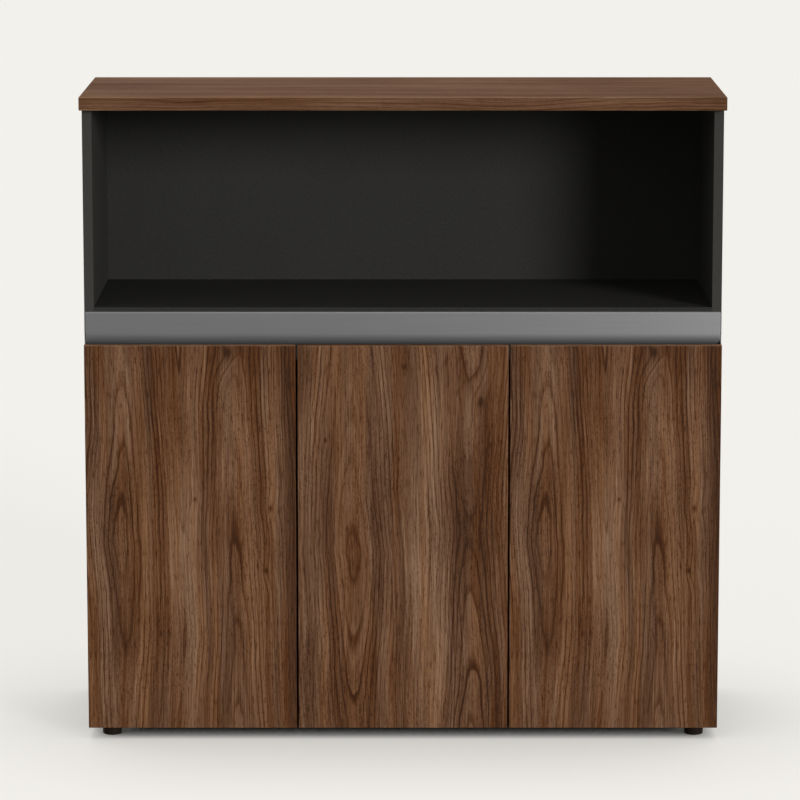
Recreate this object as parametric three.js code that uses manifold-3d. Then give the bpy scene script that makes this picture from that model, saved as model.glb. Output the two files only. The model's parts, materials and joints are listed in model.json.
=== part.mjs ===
// Office credenza: an open upper bay over three handleless doors, on four levelling feet.
// Millimetres, +Z up, origin on the floor under the middle. The doors face -Y.
import * as THREE from 'three';
import { mergeVertices } from 'three/addons/utils/BufferGeometryUtils.js';
import ManifoldModule from 'manifold-3d';

// Boards
const TOP_SIDE_OVERHANG = 4;
const TOP_DEPTH = 400;
const TOP_THICKNESS = 25;
const BOARD = 18; // sides, bottom, bay floor, partition and shelves
const BAY_CLEAR_HEIGHT = 371; // floor of the open bay to the underside of the top
const BACK_THICKNESS = 9;
const BACK_INSET = 3; // from the rear edge of the sides
const BACK_GROOVE_DEPTH = 7;
const GROOVE_CLEARANCE = 0.3;
const EDGE_EASE = 1.2; // rounding of the edge banding

// Doors
const DOOR_COUNT = 3;
const DOOR_WIDTH = 395;
const DOOR_HEIGHT = 735;
const DOOR_THICKNESS = 18;
const DOOR_GAP = 3.5; // between neighbouring doors
const DOOR_STANDOFF = 3; // from the door's back to the front edges of the boards

// Finger-pull rail
const RAIL_WALL = 2;
const RAIL_DROP = 8; // of the bay floor's front edge that shows above the rail
const RAIL_FACE_HEIGHT = 41; // flat face, down to the start of the bend
const FINGER_GAP = 20; // door's top edge up to the start of the bend
const RAIL_PROUD = 2.5; // face ahead of the boards' front edges
const RAIL_CORNER_RADIUS = 2; // face into the top flange, at the middle of the wall
const RAIL_FLANGE = 20; // top flange, behind the boards' front edges
const RAIL_BEND_RADIUS = 26; // face, turning back over the finger recess
const RAIL_BEND_ANGLE = 60; // degrees
const RAIL_COVE_RADIUS = 8; // back into the recess's wall
const RAIL_RECESS_HEIGHT = 11.5; // straight back wall of the finger recess
const RAIL_FOOT_RADIUS = 8;
const RAIL_LIP_HEIGHT = 8;
const RAIL_CLEARANCE = 0.3; // round the rail in the notched boards
const CAP_THICKNESS = 2;

// Shelves and their pins
const SHELF_COLLAR_CLEARANCE = 0.6; // shelf end to the collars of its pins
const SHELF_FRONT_SETBACK = 25;
const SHELF_REAR_CLEARANCE = 2;
const SHELF_RISE = 358; // underside of the shelf above the bottom board
const PIN_HOLE_RADIUS = 2.6;
const PIN_HOLE_DEPTH = 8.5;
const PIN_HOLE_PITCH = 32;
const PIN_HOLES = 5; // in each row
const PIN_FRONT_SETBACK = 62; // from the front edges of the boards
const PIN_REAR_SETBACK = 318;
const PIN_PEG_RADIUS = 2.4;
const PIN_PEG_LENGTH = 8;
const PIN_COLLAR_RADIUS = 4;
const PIN_COLLAR_LENGTH = 1.6;
const PIN_REST_RADIUS = 3;
const PIN_REST_LENGTH = 9;
const PIN_SHELF_CLEARANCE = 0.3;
const PIN_SIDES = 12;
const PIN_HOLE_SIDES = 8;

// Levelling feet
const FOOT_HEIGHT = 22; // floor to the underside of the boards
const FOOT_RADIUS = 18;
const FOOT_PAD_HEIGHT = 15;
const FOOT_PAD_EDGE = 2.5; // rounding round the bottom
const FOOT_TAPER_HEIGHT = 2.5; // pad up to the collar
const FOOT_COLLAR_RADIUS = 9;
const FOOT_STUD_RADIUS = 4;
const FOOT_STUD_REACH = 14; // above the underside of the boards
const FOOT_SIDE_INSET = 41; // foot centre to the outer side face
const FOOT_FRONT_INSET = 48; // foot centre to the door's front
const FOOT_REAR_INSET = 48; // foot centre to the rear edge
const INSERT_RADIUS = 6;
const INSERT_FLANGE_RADIUS = 11;
const INSERT_FLANGE_THICKNESS = 1.5;
const INSERT_CLEARANCE = 0.2;
const INSERT_OVER_STUD = 1; // insert's top above the stud
const FOOT_COLLAR_GAP = 0.3; // collar to the insert's flange
const STUD_CLEARANCE = 0.4;

// Concealed pivot hinges, in the plan of a door: x from its hinge edge, y from its front
const PIVOT_X = 6.8;
const PIVOT_Y = 6.8;
const DOOR_SWING = 95; // degrees
const HINGE_BOTTOM_INSET = 100; // hinge centre to the door's bottom edge
const HINGE_TOP_INSET = 110;
const PIN_RADIUS = 2;
const PIN_FIT = 0.3;
const EYE_RADIUS = 4.3;
const NECK_WIDTH = 4;
const NECK_HEIGHT = 6;
const NECK_TURN_Y = 18.5; // where the neck turns back along the board
const ARM_LENGTH = 47.5; // straight part of the arm
const ARM_TAIL_HEIGHT = 14;
const ARM_TAIL_START_Y = 25;
const ARM_SCREW_RADIUS = 2.6;
const ARM_SCREW_Y = [38, 56];
const PLATE_THICKNESS = 3;
const PLATE_BAR = { from: 27, to: 67, height: 18 };
const PLATE_WING = { from: 39, to: 55, height: 44 };
const LEAF_THICKNESS = 1.6;
const LEAF_FROM = 28;
const LEAF_TO = 62;
const LEAF_HEIGHT = 38;
const EAR_THICKNESS = 2;
const EAR_ROOT = 5; // width of an ear where it joins the leaf
const EAR_GAP = 0.5; // between an ear and the neck
const EAR_SINK = 1.6; // of an ear into the door's back, at its root
const EAR_HEEL = { ahead: 2, sink: 0.4 }; // slope from the leaf into the ear
const POCKET_CLEARANCE = 0.4;
const POCKET_END_CLEARANCE = 1;

const SIDES = 16; // of small round pieces
const FOOT_SIDES = 24;

// Levels and planes that follow from the sizes above
const FRONT_Y = -TOP_DEPTH / 2;
const REAR_Y = TOP_DEPTH / 2;
const BOARD_FRONT_Y = FRONT_Y + DOOR_THICKNESS + DOOR_STANDOFF;
const BACK_FACE_Y = REAR_Y - BACK_INSET - BACK_THICKNESS;
const BASE_Z = FOOT_HEIGHT;
const DOOR_TOP_Z = BASE_Z + DOOR_HEIGHT;
const RAIL_TOP_Z = DOOR_TOP_Z + FINGER_GAP + RAIL_FACE_HEIGHT;
const BAY_FLOOR_Z = RAIL_TOP_Z + RAIL_DROP;
const SIDE_TOP_Z = BAY_FLOOR_Z + BAY_CLEAR_HEIGHT;
const SHELF_UNDERSIDE_Z = BASE_Z + BOARD + SHELF_RISE;
const CARCASS_WIDTH = DOOR_COUNT * DOOR_WIDTH + (DOOR_COUNT - 1) * DOOR_GAP;
const TOP_WIDTH = CARCASS_WIDTH + 2 * TOP_SIDE_OVERHANG;
const SIDE_OUTER_X = CARCASS_WIDTH / 2;
const SIDE_INNER_X = SIDE_OUTER_X - BOARD;
const DOOR_PITCH = DOOR_WIDTH + DOOR_GAP;
const PARTITION_X = DOOR_PITCH / 2; // behind the gap between the middle and right doors
const RAIL_DEPTH = RAIL_FLANGE + RAIL_WALL / 2;

const FINISH = {
  walnut: { color: '#6a4a34', roughness: 0.5, metalness: 0 },
  charcoal: { color: '#3a3936', roughness: 0.6, metalness: 0 },
  aluminium: { color: '#8a8a8c', roughness: 0.35, metalness: 0.9 },
  steel: { color: '#b0b0b2', roughness: 0.3, metalness: 1 },
  plastic: { color: '#1c1c1c', roughness: 0.55, metalness: 0 },
};

const manifold = await ManifoldModule();
manifold.setup();

function toSolid(geometry) {
  const bare = geometry.clone();
  bare.deleteAttribute('normal');
  bare.deleteAttribute('uv');
  const merged = mergeVertices(bare, 1e-4);
  return new manifold.Manifold(new manifold.Mesh({
    numProp: 3,
    vertProperties: new Float32Array(merged.attributes.position.array),
    triVerts: new Uint32Array(merged.index.array),
  }));
}

function toGeometry(solid) {
  const mesh = solid.getMesh();
  const geometry = new THREE.BufferGeometry();
  geometry.setAttribute('position', new THREE.BufferAttribute(mesh.vertProperties, 3));
  geometry.setIndex(new THREE.BufferAttribute(mesh.triVerts, 1));
  geometry.computeVertexNormals();
  return geometry;
}

function join(pieces) {
  return toGeometry(manifold.Manifold.union(pieces.map(toSolid)));
}

function cut(body, tools) {
  return toGeometry(toSolid(body).subtract(manifold.Manifold.union(tools.map(toSolid))));
}

function box(x0, x1, y0, y1, z0, z1) {
  const geometry = new THREE.BoxGeometry(x1 - x0, y1 - y0, z1 - z0);
  return geometry.translate((x0 + x1) / 2, (y0 + y1) / 2, (z0 + z1) / 2);
}

// A board with all its edges slightly rounded, thick along Z.
function easedSlab(x0, x1, y0, y1, z0, z1) {
  const e = EDGE_EASE;
  const outline = new THREE.Shape();
  outline.moveTo(x0 + e, y0 + e);
  outline.lineTo(x1 - e, y0 + e);
  outline.lineTo(x1 - e, y1 - e);
  outline.lineTo(x0 + e, y1 - e);
  outline.closePath();
  const geometry = new THREE.ExtrudeGeometry(outline, {
    depth: z1 - z0 - 2 * e,
    bevelThickness: e,
    bevelSize: e,
    bevelSegments: 2,
  });
  return geometry.translate(0, 0, z0 + e);
}

// An outline in plan, raised from z0 to z1.
function plate(shape, z0, z1) {
  const geometry = new THREE.ExtrudeGeometry(shape, {
    depth: z1 - z0,
    bevelEnabled: false,
    curveSegments: SIDES / 2,
  });
  return geometry.translate(0, 0, z0);
}

// A side-view outline (first coordinate along Y, second along Z), drawn out from x0 to x1.
function profileAlongX(shape, x0, x1) {
  const geometry = new THREE.ExtrudeGeometry(shape, { depth: x1 - x0, bevelEnabled: false });
  const basis = new THREE.Matrix4().makeBasis(
    new THREE.Vector3(0, 1, 0),
    new THREE.Vector3(0, 0, 1),
    new THREE.Vector3(1, 0, 0),
  );
  return geometry.applyMatrix4(basis).translate(x0, 0, 0);
}

function uprightRod(radius, x, y, z0, z1) {
  const geometry = new THREE.CylinderGeometry(radius, radius, z1 - z0, SIDES);
  return geometry.rotateX(Math.PI / 2).translate(x, y, (z0 + z1) / 2);
}

function rodAlongX(radius, x0, x1, y, z, sides) {
  const geometry = new THREE.CylinderGeometry(radius, radius, x1 - x0, sides);
  return geometry.rotateZ(Math.PI / 2).translate((x0 + x1) / 2, y, z);
}

function polygon(points) {
  return new THREE.Shape(points.map(([u, v]) => new THREE.Vector2(u, v)));
}

// The points of a path, with those that fall together where its stretches meet taken once.
function outlinePoints(path, divisions) {
  const points = path.getPoints(divisions);
  return points.filter((p, i) => i === 0 || p.distanceTo(points[i - 1]) > 1e-6);
}

// The closed outline of a strip of even width along a line of points.
function stripOutline(line, width) {
  const left = [];
  const right = [];
  line.forEach((point, i) => {
    const before = line[Math.max(i - 1, 0)];
    const after = line[Math.min(i + 1, line.length - 1)];
    const into = i > 0 ? point.clone().sub(before).normalize() : after.clone().sub(point).normalize();
    const out = i < line.length - 1 ? after.clone().sub(point).normalize() : into;
    const normal = new THREE.Vector2(-into.y - out.y, into.x + out.x).normalize();
    const reach = width / 2 / normal.dot(new THREE.Vector2(-into.y, into.x));
    left.push(point.clone().addScaledVector(normal, reach));
    right.unshift(point.clone().addScaledVector(normal, -reach));
  });
  return new THREE.Shape([...left, ...right]);
}

const root = new THREE.Group();
root.name = 'office_credenza';

function add(name, geometry, finish) {
  const mesh = new THREE.Mesh(geometry, new THREE.MeshStandardMaterial(FINISH[finish]));
  mesh.name = name;
  root.add(mesh);
  return mesh;
}

// Finger-pull rail: top flange, flat face, a bend back over the finger recess, and a trough with a lip.
const railFaceY = BOARD_FRONT_Y - RAIL_PROUD + RAIL_WALL / 2;
const railLipY = BOARD_FRONT_Y + RAIL_WALL / 2;
const railFlangeZ = RAIL_TOP_Z - RAIL_WALL / 2;
const railBendZ = RAIL_TOP_Z - RAIL_FACE_HEIGHT;
const railBend = THREE.MathUtils.degToRad(RAIL_BEND_ANGLE);
const railTurn = RAIL_BEND_RADIUS + RAIL_COVE_RADIUS;
const railWallY = railFaceY + railTurn * (1 - Math.cos(railBend));
const railWallTopZ = railBendZ - railTurn * Math.sin(railBend);
const railWallFootZ = railWallTopZ - RAIL_RECESS_HEIGHT;
const railTroughZ = railWallFootZ - RAIL_FOOT_RADIUS;
const RAIL_BOTTOM_Z = railTroughZ - RAIL_WALL / 2;

function railLine() {
  const line = new THREE.Path();
  const cornerY = railFaceY + RAIL_CORNER_RADIUS;
  const cornerZ = railFlangeZ - RAIL_CORNER_RADIUS;
  line.moveTo(BOARD_FRONT_Y + RAIL_FLANGE, railFlangeZ);
  line.lineTo(cornerY, railFlangeZ);
  line.absarc(cornerY, cornerZ, RAIL_CORNER_RADIUS, Math.PI / 2, Math.PI, false);
  line.lineTo(railFaceY, railBendZ);
  const bendY = railFaceY + RAIL_BEND_RADIUS;
  line.absarc(bendY, railBendZ, RAIL_BEND_RADIUS, Math.PI, Math.PI + railBend, false);
  line.absarc(railWallY - RAIL_COVE_RADIUS, railWallTopZ, RAIL_COVE_RADIUS, railBend, 0, true);
  line.lineTo(railWallY, railWallFootZ);
  line.absarc(railWallY - RAIL_FOOT_RADIUS, railWallFootZ, RAIL_FOOT_RADIUS, 0, -0.5 * Math.PI, true);
  line.lineTo(railLipY, railTroughZ);
  line.lineTo(railLipY, railTroughZ + RAIL_LIP_HEIGHT);
  return outlinePoints(line, 6);
}

const railEndX = SIDE_OUTER_X - CAP_THICKNESS;
add('finger_pull_rail', profileAlongX(stripOutline(railLine(), RAIL_WALL), -railEndX, railEndX), 'aluminium');
const capRearY = BOARD_FRONT_Y + RAIL_DEPTH;
const capOutline = polygon([
  [BOARD_FRONT_Y - RAIL_PROUD, RAIL_TOP_Z],
  [BOARD_FRONT_Y - RAIL_PROUD, railBendZ],
  [BOARD_FRONT_Y, railBendZ - RAIL_PROUD],
  [BOARD_FRONT_Y, RAIL_BOTTOM_Z],
  [capRearY, RAIL_BOTTOM_Z],
  [capRearY, RAIL_TOP_Z],
]);
add('rail_end_cap_left', profileAlongX(capOutline, -SIDE_OUTER_X, -railEndX), 'plastic');
add('rail_end_cap_right', profileAlongX(capOutline, railEndX, SIDE_OUTER_X), 'plastic');

// Notch for the rail in the front edge of an upright board.
function railNotch(x0, x1, topZ) {
  const bottomZ = RAIL_BOTTOM_Z - RAIL_CLEARANCE;
  return box(x0 - 1, x1 + 1, BOARD_FRONT_Y - 1, capRearY + RAIL_CLEARANCE, bottomZ, topZ);
}

// Rows of blind shelf-pin holes in the face of a board at x, sunk towards `into` (+1 or -1).
const pinCentreZ = SHELF_UNDERSIDE_Z - PIN_REST_RADIUS - PIN_SHELF_CLEARANCE;
const pinRowsY = [BOARD_FRONT_Y + PIN_FRONT_SETBACK, BOARD_FRONT_Y + PIN_REAR_SETBACK];

function pinHoles(x, into) {
  const holes = [];
  const ends = [x - into, x + into * PIN_HOLE_DEPTH].sort((a, b) => a - b);
  for (const y of pinRowsY) {
    for (let i = 0; i < PIN_HOLES; i += 1) {
      const z = pinCentreZ + (i - (PIN_HOLES - 1) / 2) * PIN_HOLE_PITCH;
      holes.push(rodAlongX(PIN_HOLE_RADIUS, ends[0], ends[1], y, z, PIN_HOLE_SIDES));
    }
  }
  return holes;
}

// Carcass boards
add('top_panel', easedSlab(
  -TOP_WIDTH / 2, TOP_WIDTH / 2, FRONT_Y, REAR_Y, SIDE_TOP_Z, SIDE_TOP_Z + TOP_THICKNESS), 'walnut');

for (const [name, hand] of [['left', -1], ['right', 1]]) {
  const xs = [hand * SIDE_OUTER_X, hand * SIDE_INNER_X].sort((a, b) => a - b);
  const board = box(xs[0], xs[1], BOARD_FRONT_Y, REAR_Y, BASE_Z, SIDE_TOP_Z);
  const grooveXs = [
    hand * (SIDE_INNER_X - 1),
    hand * (SIDE_INNER_X + BACK_GROOVE_DEPTH + GROOVE_CLEARANCE),
  ].sort((a, b) => a - b);
  const groove = box(grooveXs[0], grooveXs[1], BACK_FACE_Y - GROOVE_CLEARANCE,
    REAR_Y - BACK_INSET + GROOVE_CLEARANCE, BASE_Z - 1, SIDE_TOP_Z + 1);
  const notch = railNotch(xs[0], xs[1], RAIL_TOP_Z + RAIL_CLEARANCE);
  add(`side_panel_${name}`, cut(board, [groove, notch, ...pinHoles(hand * SIDE_INNER_X, hand)]), 'charcoal');
}

const feet = [];
for (const [depthName, y] of [['front', FRONT_Y + FOOT_FRONT_INSET], ['rear', REAR_Y - FOOT_REAR_INSET]]) {
  for (const [sideName, hand] of [['left', -1], ['right', 1]]) {
    feet.push({ name: `${depthName}_${sideName}`, x: hand * (SIDE_OUTER_X - FOOT_SIDE_INSET), y });
  }
}

const insertTopZ = BASE_Z + FOOT_STUD_REACH + INSERT_OVER_STUD;
const insertBores = feet.map(({ x, y }) => uprightRod(
  INSERT_RADIUS + INSERT_CLEARANCE, x, y, BASE_Z - 1, insertTopZ + INSERT_CLEARANCE));
const bottomBoard = box(-SIDE_INNER_X, SIDE_INNER_X, BOARD_FRONT_Y, BACK_FACE_Y, BASE_Z, BASE_Z + BOARD);
add('bottom_panel', cut(bottomBoard, insertBores), 'charcoal');

const bayFloorUnderZ = BAY_FLOOR_Z - BOARD;
const rabbetRearY = capRearY + RAIL_CLEARANCE;
add('bay_floor', profileAlongX(polygon([
  [BOARD_FRONT_Y, RAIL_TOP_Z],
  [rabbetRearY, RAIL_TOP_Z],
  [rabbetRearY, bayFloorUnderZ],
  [BACK_FACE_Y, bayFloorUnderZ],
  [BACK_FACE_Y, BAY_FLOOR_Z],
  [BOARD_FRONT_Y, BAY_FLOOR_Z],
]), -SIDE_INNER_X, SIDE_INNER_X), 'charcoal');

const partitionLeftX = PARTITION_X - BOARD / 2;
const partitionRightX = PARTITION_X + BOARD / 2;
add('partition', cut(
  box(partitionLeftX, partitionRightX, BOARD_FRONT_Y, BACK_FACE_Y, BASE_Z + BOARD, bayFloorUnderZ),
  [
    railNotch(partitionLeftX, partitionRightX, bayFloorUnderZ + 1),
    ...pinHoles(partitionLeftX, 1),
    ...pinHoles(partitionRightX, -1),
  ]), 'charcoal');

const backHalfWidth = SIDE_INNER_X + BACK_GROOVE_DEPTH;
add('back_panel', box(
  -backHalfWidth, backHalfWidth, BACK_FACE_Y, BACK_FACE_Y + BACK_THICKNESS, BASE_Z, SIDE_TOP_Z), 'charcoal');

// Adjustable shelves, each on four pins
function shelfPin(x, into, y) {
  const profile = [
    [0, -PIN_PEG_LENGTH],
    [PIN_PEG_RADIUS, -PIN_PEG_LENGTH],
    [PIN_PEG_RADIUS, 0],
    [PIN_COLLAR_RADIUS, 0],
    [PIN_COLLAR_RADIUS, PIN_COLLAR_LENGTH],
    [PIN_REST_RADIUS, PIN_COLLAR_LENGTH],
    [PIN_REST_RADIUS, PIN_REST_LENGTH],
    [0, PIN_REST_LENGTH],
  ].map(([r, h]) => new THREE.Vector2(r, h));
  const geometry = new THREE.LatheGeometry(profile, PIN_SIDES);
  return geometry.rotateZ(into * Math.PI / 2).translate(x, y, pinCentreZ);
}

for (const [name, leftX, rightX] of [
  ['wide', -SIDE_INNER_X, partitionLeftX],
  ['narrow', partitionRightX, SIDE_INNER_X],
]) {
  const inset = PIN_COLLAR_LENGTH + SHELF_COLLAR_CLEARANCE;
  const frontY = BOARD_FRONT_Y + SHELF_FRONT_SETBACK;
  const rearY = BACK_FACE_Y - SHELF_REAR_CLEARANCE;
  add(`shelf_${name}`, easedSlab(
    leftX + inset, rightX - inset, frontY, rearY, SHELF_UNDERSIDE_Z, SHELF_UNDERSIDE_Z + BOARD), 'charcoal');
  for (const [sideName, x, into] of [['left', leftX, 1], ['right', rightX, -1]]) {
    pinRowsY.forEach((y, row) => {
      add(`shelf_pin_${name}_${sideName}_${row ? 'rear' : 'front'}`, shelfPin(x, -into, y), 'steel');
    });
  }
}

// Levelling feet and the threaded inserts that they screw into
for (const { name, x, y } of feet) {
  const collarTopZ = BASE_Z - INSERT_FLANGE_THICKNESS - FOOT_COLLAR_GAP;
  const profile = new THREE.Path();
  profile.moveTo(0, 0);
  profile.lineTo(FOOT_RADIUS - FOOT_PAD_EDGE, 0);
  profile.absarc(FOOT_RADIUS - FOOT_PAD_EDGE, FOOT_PAD_EDGE, FOOT_PAD_EDGE, -Math.PI / 2, 0, false);
  profile.lineTo(FOOT_RADIUS, FOOT_PAD_HEIGHT);
  profile.lineTo(FOOT_COLLAR_RADIUS, FOOT_PAD_HEIGHT + FOOT_TAPER_HEIGHT);
  profile.lineTo(FOOT_COLLAR_RADIUS, collarTopZ);
  profile.lineTo(FOOT_STUD_RADIUS, collarTopZ);
  profile.lineTo(FOOT_STUD_RADIUS, BASE_Z + FOOT_STUD_REACH);
  profile.lineTo(0, BASE_Z + FOOT_STUD_REACH);
  const foot = new THREE.LatheGeometry(outlinePoints(profile, 2), FOOT_SIDES);
  add(`foot_${name}`, foot.rotateX(Math.PI / 2).translate(x, y, 0), 'plastic');

  const boreRadius = FOOT_STUD_RADIUS + STUD_CLEARANCE;
  const insert = new THREE.LatheGeometry([
    [boreRadius, BASE_Z - INSERT_FLANGE_THICKNESS],
    [INSERT_FLANGE_RADIUS, BASE_Z - INSERT_FLANGE_THICKNESS],
    [INSERT_FLANGE_RADIUS, BASE_Z],
    [INSERT_RADIUS, BASE_Z],
    [INSERT_RADIUS, insertTopZ],
    [boreRadius, insertTopZ],
    [boreRadius, BASE_Z - INSERT_FLANGE_THICKNESS],
  ].map(([r, h]) => new THREE.Vector2(r, h)), SIDES);
  add(`foot_insert_${name}`, insert.rotateX(Math.PI / 2).translate(x, y, 0), 'steel');
}

// Doors and their hinges. A door's plan is drawn from its hinge edge: x along the door, y from its front.
const doors = [
  { name: 'left', hingeX: -SIDE_OUTER_X, into: 1, boardFace: BOARD },
  { name: 'middle', hingeX: DOOR_WIDTH / 2, into: -1, boardFace: DOOR_WIDTH / 2 - partitionLeftX },
  { name: 'right', hingeX: SIDE_OUTER_X, into: -1, boardFace: BOARD },
];
const hingeLevels = [
  ['lower', BASE_Z + HINGE_BOTTOM_INSET],
  ['upper', DOOR_TOP_Z - HINGE_TOP_INSET],
];
const pocketRadius = EYE_RADIUS + POCKET_CLEARANCE;
const leafBackY = DOOR_THICKNESS + LEAF_THICKNESS;
const earOuterHeight = NECK_HEIGHT / 2 + EAR_GAP + EAR_THICKNESS;
const pocketHalfHeight = earOuterHeight + POCKET_CLEARANCE;

for (const door of doors) {
  const place = ([x, y]) => [door.hingeX + door.into * x, FRONT_Y + y];
  const planShape = (points) => polygon(points.map(place));
  const xRange = (x0, x1) => [place([x0, 0])[0], place([x1, 0])[0]].sort((a, b) => a - b);
  const planBox = (x0, x1, y0, y1, z0, z1) => {
    const xs = xRange(x0, x1);
    return box(xs[0], xs[1], FRONT_Y + y0, FRONT_Y + y1, z0, z1);
  };
  const onCircle = (radius, angle) => [
    PIVOT_X + radius * Math.cos(angle),
    PIVOT_Y + radius * Math.sin(angle),
  ];
  const pivotRod = (radius, z0, z1) => {
    const [x, y] = place([PIVOT_X, PIVOT_Y]);
    return uprightRod(radius, x, y, z0, z1);
  };

  // The neck runs from the pivot to its turn beside the board; the pocket takes it through the whole swing.
  const armX = door.boardFace + PLATE_THICKNESS + NECK_WIDTH / 2;
  const neckAngle = Math.atan2(NECK_TURN_Y - PIVOT_Y, armX - PIVOT_X);
  const openAngle = neckAngle + THREE.MathUtils.degToRad(DOOR_SWING);
  const exitFoot = onCircle(pocketRadius, openAngle + Math.PI / 2);
  const exitReach = (exitFoot[0] + 1) / -Math.cos(openAngle);
  const leafRoot = onCircle(pocketRadius, -Math.PI / 3);
  const pocketEndX = LEAF_FROM + EAR_ROOT + POCKET_END_CLEARANCE;
  const pocketOutline = planShape([
    exitFoot,
    leafRoot,
    [pocketEndX, DOOR_THICKNESS - EAR_SINK - 2 * POCKET_CLEARANCE],
    [pocketEndX, DOOR_THICKNESS + 1],
    [-1, DOOR_THICKNESS + 1],
    [-1, exitFoot[1] + exitReach * Math.sin(openAngle)],
  ]);

  const doorXs = xRange(0, DOOR_WIDTH);
  const slab = easedSlab(doorXs[0], doorXs[1], -DOOR_TOP_Z, -BASE_Z, FRONT_Y, FRONT_Y + DOOR_THICKNESS);
  slab.rotateX(-Math.PI / 2); // stands the slab up, its thickness along Y
  const pockets = hingeLevels.flatMap(([, z]) => [
    plate(pocketOutline, z - pocketHalfHeight, z + pocketHalfHeight),
    pivotRod(pocketRadius, z - pocketHalfHeight, z + pocketHalfHeight),
  ]);
  add(`door_${door.name}`, cut(slab, pockets), 'walnut');

  for (const [level, z] of hingeLevels) {
    const label = `${door.name}_${level}`;

    const neckLine = [[PIVOT_X, PIVOT_Y], [armX, NECK_TURN_Y], [armX, NECK_TURN_Y + ARM_LENGTH]];
    const neck = stripOutline(neckLine.map((p) => new THREE.Vector2(...place(p))), NECK_WIDTH);
    const tailEndY = NECK_TURN_Y + ARM_LENGTH;
    const arm = join([
      plate(neck, z - NECK_HEIGHT / 2, z + NECK_HEIGHT / 2),
      pivotRod(EYE_RADIUS, z - NECK_HEIGHT / 2, z + NECK_HEIGHT / 2),
      planBox(armX - NECK_WIDTH / 2, armX + NECK_WIDTH / 2, ARM_TAIL_START_Y, tailEndY,
        z - ARM_TAIL_HEIGHT / 2, z + ARM_TAIL_HEIGHT / 2),
    ]);
    const armXs = xRange(armX - NECK_WIDTH, armX + NECK_WIDTH);
    add(`hinge_arm_${label}`, cut(arm, [
      pivotRod(PIN_RADIUS + PIN_FIT, z - NECK_HEIGHT, z + NECK_HEIGHT),
      ...ARM_SCREW_Y.map((y) => rodAlongX(ARM_SCREW_RADIUS, armXs[0], armXs[1], FRONT_Y + y, z, 10)),
    ]), 'steel');

    const plateFace = [door.boardFace, door.boardFace + PLATE_THICKNESS];
    add(`hinge_plate_${label}`, join([PLATE_BAR, PLATE_WING].map(({ from, to, height }) => planBox(
      ...plateFace, from, to, z - height / 2, z + height / 2))), 'steel');

    const earLow = onCircle(EYE_RADIUS, -Math.PI / 3);
    const earHigh = onCircle(EYE_RADIUS, (2 * Math.PI) / 3);
    const ear = planShape([
      earHigh,
      earLow,
      [LEAF_FROM + EAR_ROOT, DOOR_THICKNESS - EAR_SINK],
      [LEAF_FROM + EAR_ROOT, leafBackY],
      [LEAF_FROM, leafBackY],
      [LEAF_FROM - EAR_HEEL.ahead, DOOR_THICKNESS - EAR_HEEL.sink],
    ]);
    const ears = [1, -1].flatMap((up) => {
      const zs = [z + up * (NECK_HEIGHT / 2 + EAR_GAP), z + up * earOuterHeight].sort((a, b) => a - b);
      return [plate(ear, zs[0], zs[1]), pivotRod(EYE_RADIUS, zs[0], zs[1])];
    });
    const flange = planBox(
      LEAF_FROM, LEAF_TO, DOOR_THICKNESS, leafBackY, z - LEAF_HEIGHT / 2, z + LEAF_HEIGHT / 2);
    add(`hinge_leaf_${label}`, cut(join([flange, ...ears]), [
      pivotRod(PIN_RADIUS + PIN_FIT, z - LEAF_HEIGHT, z + LEAF_HEIGHT),
    ]), 'steel');

    add(`hinge_pin_${label}`, pivotRod(PIN_RADIUS, z - earOuterHeight, z + earOuterHeight), 'steel');
  }
}

export default root;
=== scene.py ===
"""Looks of the office credenza: finishes, small fittings, floor, light and camera.

Lengths are in metres. The origin is on the floor under the middle, +Z is up and the front faces -Y.
"""

import json
import math

import bmesh
import bpy
from mathutils import Matrix, Vector

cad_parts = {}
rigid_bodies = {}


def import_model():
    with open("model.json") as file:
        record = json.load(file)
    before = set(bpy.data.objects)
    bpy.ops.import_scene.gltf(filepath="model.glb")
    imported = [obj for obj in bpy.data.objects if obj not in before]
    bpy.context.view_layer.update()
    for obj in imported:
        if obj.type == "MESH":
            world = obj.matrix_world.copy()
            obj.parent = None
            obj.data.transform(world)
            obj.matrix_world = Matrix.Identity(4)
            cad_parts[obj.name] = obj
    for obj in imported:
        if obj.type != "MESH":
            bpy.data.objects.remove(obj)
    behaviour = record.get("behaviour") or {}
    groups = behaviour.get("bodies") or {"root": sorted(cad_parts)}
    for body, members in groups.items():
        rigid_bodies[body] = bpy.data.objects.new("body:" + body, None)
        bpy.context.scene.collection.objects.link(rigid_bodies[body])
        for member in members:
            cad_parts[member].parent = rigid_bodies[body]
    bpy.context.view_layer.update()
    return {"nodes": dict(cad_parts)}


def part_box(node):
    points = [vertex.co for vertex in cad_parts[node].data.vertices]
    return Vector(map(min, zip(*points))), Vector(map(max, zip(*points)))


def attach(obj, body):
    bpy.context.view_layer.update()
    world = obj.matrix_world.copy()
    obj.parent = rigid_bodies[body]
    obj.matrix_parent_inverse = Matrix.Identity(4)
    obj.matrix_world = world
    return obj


for leftover in list(bpy.data.objects):
    bpy.data.objects.remove(leftover)

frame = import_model()
nodes = frame["nodes"]
scene = bpy.context.scene
scene.view_settings.view_transform = "Standard"


# Camera
CAMERA_PLACE = (0.0007, -7.5, 1.9388)
CAMERA_TILT = 9.404  # degrees down from level
CAMERA_LENS = 178.2  # in millimetres
CAMERA_SENSOR = 36  # in millimetres
CAMERA_SHIFT = (-0.0041, -0.05)  # in widths of the frame
CAMERA_REACH = 200


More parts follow.
